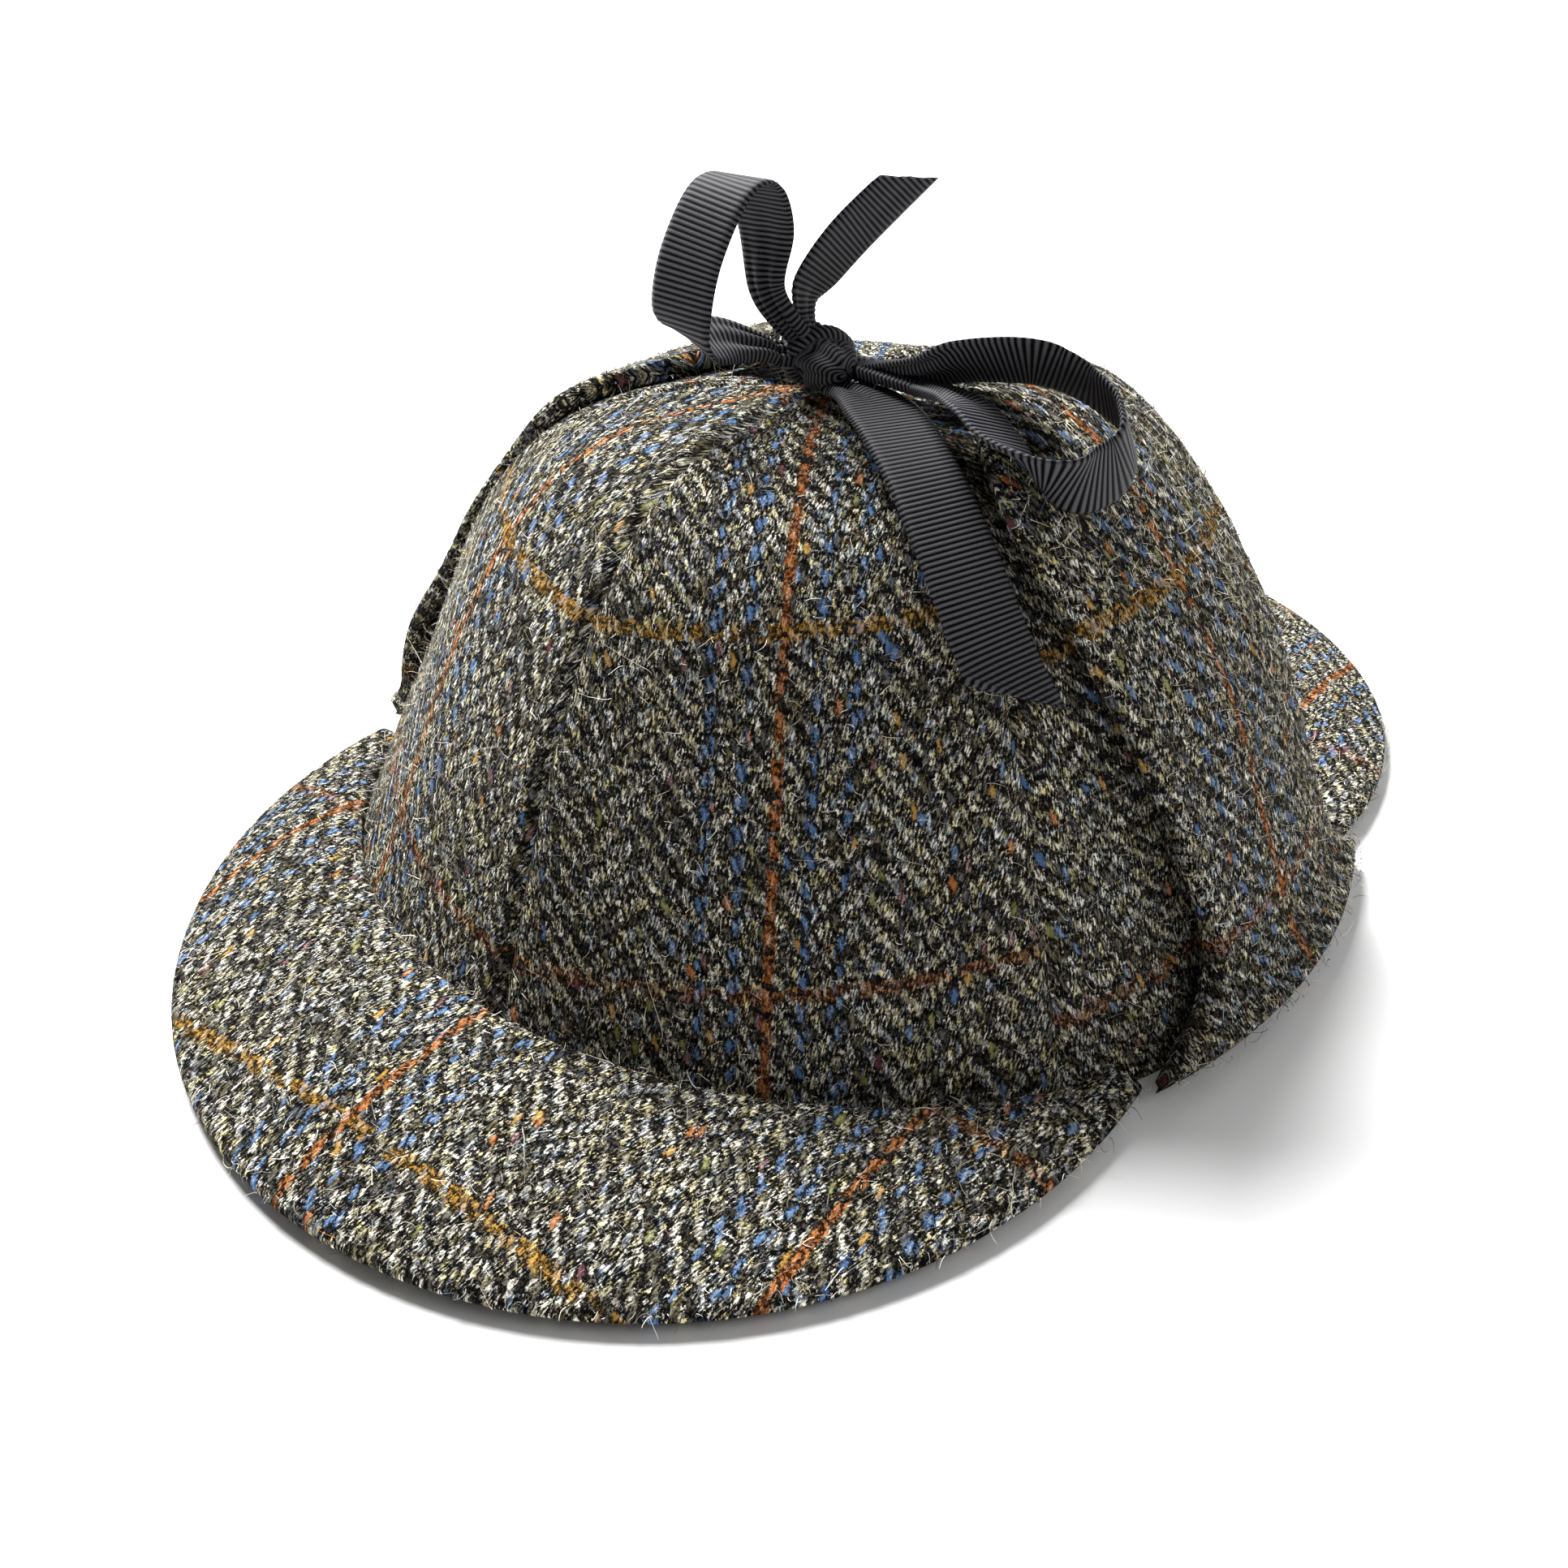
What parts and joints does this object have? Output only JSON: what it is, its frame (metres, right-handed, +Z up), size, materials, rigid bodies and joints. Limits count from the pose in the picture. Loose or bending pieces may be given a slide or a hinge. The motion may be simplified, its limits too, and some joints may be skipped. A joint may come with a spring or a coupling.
{
  "type": "deerstalker hat",
  "caption": "Tweed deerstalker hat: panelled dome, front and back visors, ear flaps folded up over the sides and tied on top with a ribbon bow.",
  "frame": {"origin": "on the surface the hat rests on, under the middle of the hat's length and width", "axes": "+Z up through the crown, -Y towards the front visor, +X towards the wearer's left ear flap"},
  "size_m": [0.2075, 0.2753, 0.1255],
  "materials": {
    "crown_tweed": "herringbone wool tweed, matte",
    "visor_tweed": "herringbone wool tweed, matte",
    "flap_tweed": "herringbone wool tweed, matte",
    "ribbon": "ribbed grosgrain, low sheen"
  },
  "bodies": {
    "root": {"crown": "crown_tweed", "front_visor": "visor_tweed", "back_visor": "visor_tweed", "left_ear_flap": "flap_tweed", "right_ear_flap": "flap_tweed", "left_tie": "ribbon", "right_tie": "ribbon", "bow_knot": "ribbon", "bow_loop_standing": "ribbon", "bow_loop_lying": "ribbon", "bow_tail_standing": "ribbon", "bow_tail_front": "ribbon"}
  },
  "joints": []
}
